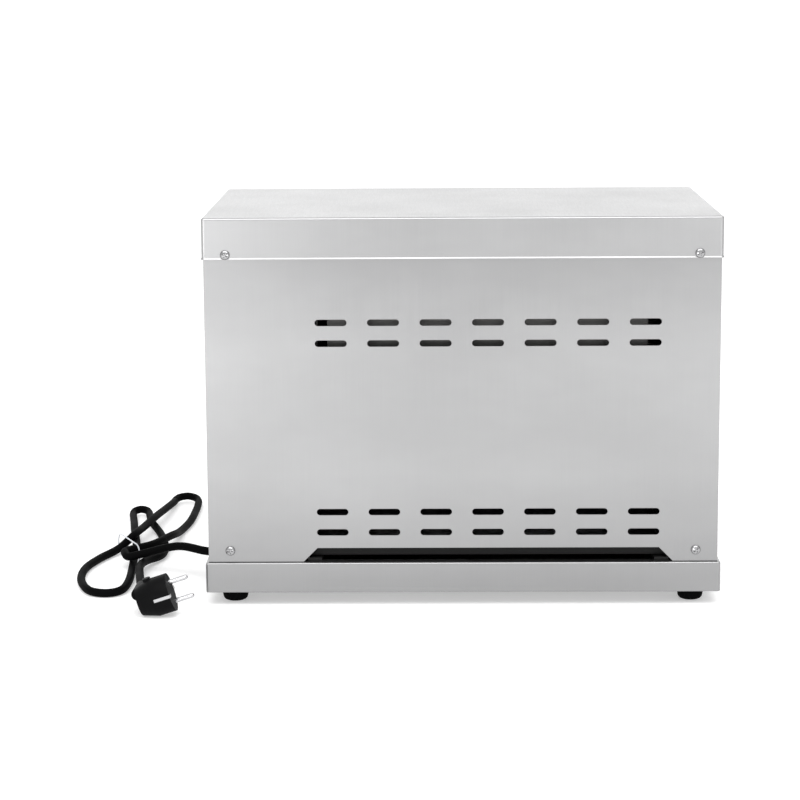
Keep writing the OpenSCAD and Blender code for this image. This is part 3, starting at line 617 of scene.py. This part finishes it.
def screw_mesh():
    """Pan head with a cross recess, pointing along +Y, in metres."""
    vertices, faces = lathe(HEAD_PROFILE, (0, 0, 0), (0, 1, 0))
    head = bpy.data.meshes.new("screw_head")
    head.from_pydata([mm(*v) for v in vertices], [], faces)
    cutter = bpy.data.meshes.new("cross")
    points, walls = [], []
    for long_x, long_z in ((ARM_L, ARM_W), (ARM_W, ARM_L)):
        first = len(points)
        for y, grow in ARM_ENDS:
            for sx, sz in ((1, 1), (-1, 1), (-1, -1), (1, -1)):
                points.append(mm(sx * long_x * grow, y, sz * long_z * grow))
        walls += [tuple(first + k for k in ring) for ring in
                  ((0, 1, 2, 3), (7, 6, 5, 4), (0, 4, 5, 1), (1, 5, 6, 2), (2, 6, 7, 3), (3, 7, 4, 0))]
    cutter.from_pydata(points, [], walls)
    for mesh in (head, cutter):
        outward(mesh)
    head_obj = bpy.data.objects.new("screw_head_blank", head)
    cutter_obj = bpy.data.objects.new("screw_cross", cutter)
    for obj in (head_obj, cutter_obj):
        scene.collection.objects.link(obj)
    cut = head_obj.modifiers.new("cut", "BOOLEAN")
    cut.operation = "DIFFERENCE"
    cut.use_self = True
    cut.object = cutter_obj
    bpy.context.view_layer.update()
    graph = bpy.context.evaluated_depsgraph_get()
    done = bpy.data.meshes.new_from_object(head_obj.evaluated_get(graph))
    bpy.data.objects.remove(head_obj)
    bpy.data.objects.remove(cutter_obj)
    return done


SCREW = screw_mesh()
SCREW_X = 225
COVER_SCREW_YZ = (182.5, 342)
BACK_SCREW_YZ = (181.3, 54)
# Places of the heads, and the turn of each cross in degrees
SCREWS = {
    "cover_screws": ((-SCREW_X, *COVER_SCREW_YZ, 20), (SCREW_X, *COVER_SCREW_YZ, 65)),
    "back_screws": ((-SCREW_X, *BACK_SCREW_YZ, 40), (SCREW_X, *BACK_SCREW_YZ, 10)),
}
for node, places in SCREWS.items():
    for number, (x, y, z, turn) in enumerate(places):
        obj = bpy.data.objects.new(f"{node}_head_{number}", SCREW)
        spin = Matrix.Rotation(math.radians(turn), 4, "Y")
        obj.matrix_world = Matrix.Translation(mm(x, y, z)) @ spin
        scene.collection.objects.link(obj)
        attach(obj, "cabinet")
        dress(obj, "screw_steel")
        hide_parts(node)

# ---------------------------------------------------------------- studio


ROOM_LIGHT = 0.96
# Place, aim, size and watts of each light, in metres
LIGHTS = {
    "overhead": ((0.0, 0.9, 2.6), (0.0, 0.1, 0.2), (3.2, 0.7), 26),
    "front_strip": ((0.0, -4.2, 1.7), (0.0, 0.0, 0.3), (7.0, 1.6), 31),
    "high_box": ((0.0, 2.3, 3.1), (0.0, 0.18, 0.36), (4.4, 1.5), 62),
    "left_box": ((1.05, 2.4, 0.19), (0.0, 0.2, 0.19), (0.7, 0.36), 7.5),
    "right_box": ((-1.2, 2.4, 0.19), (0.0, 0.2, 0.19), (0.6, 0.36), 4.5),
}
FLOOR_SIDE = 60.0
FLOOR_GLOW = 0.38
FLOOR_TONES = ((0.71, 0.71, 0.71), (0.73, 0.73, 0.73))


def area_light(name, at, aim, size, power):
    """Soft light at a point, turned to another, sizes in metres."""
    data = bpy.data.lights.new(name, "AREA")
    data.shape = "RECTANGLE"
    data.size, data.size_y = size
    data.energy = power
    light = bpy.data.objects.new(name, data)
    light.location = at
    light.rotation_euler = (Vector(aim) - Vector(at)).to_track_quat("-Z", "Y").to_euler()
    scene.collection.objects.link(light)


def make_studio():
    """White room light, soft lights all round and a pale floor."""
    world = bpy.data.worlds.new("studio")
    world.use_nodes = True
    back = world.node_tree.nodes["Background"]
    back.inputs["Color"].default_value = (1.0, 1.0, 1.0, 1)
    back.inputs["Strength"].default_value = ROOM_LIGHT
    scene.world = world
    for name, row in LIGHTS.items():
        area_light(name, *row)
    scene.view_settings.view_transform = "Standard"
    mesh = bpy.data.meshes.new("floor")
    side = FLOOR_SIDE
    corners = [(-side, -side, 0), (side, -side, 0), (side, side, 0), (-side, side, 0)]
    mesh.from_pydata(corners, [], [(0, 1, 2, 3)])
    floor = bpy.data.objects.new("floor", mesh)
    scene.collection.objects.link(floor)
    look = Look("floor", (0.72, 0.72, 0.72), roughness=0.8, Emission_Color=(1, 1, 1, 1),
                Emission_Strength=FLOOR_GLOW)
    grain = look.noise(0.8, 2.0)
    look.feed("Base Color", look.mix(grain, *FLOOR_TONES))
    floor.data.materials.append(look.material)


make_studio()
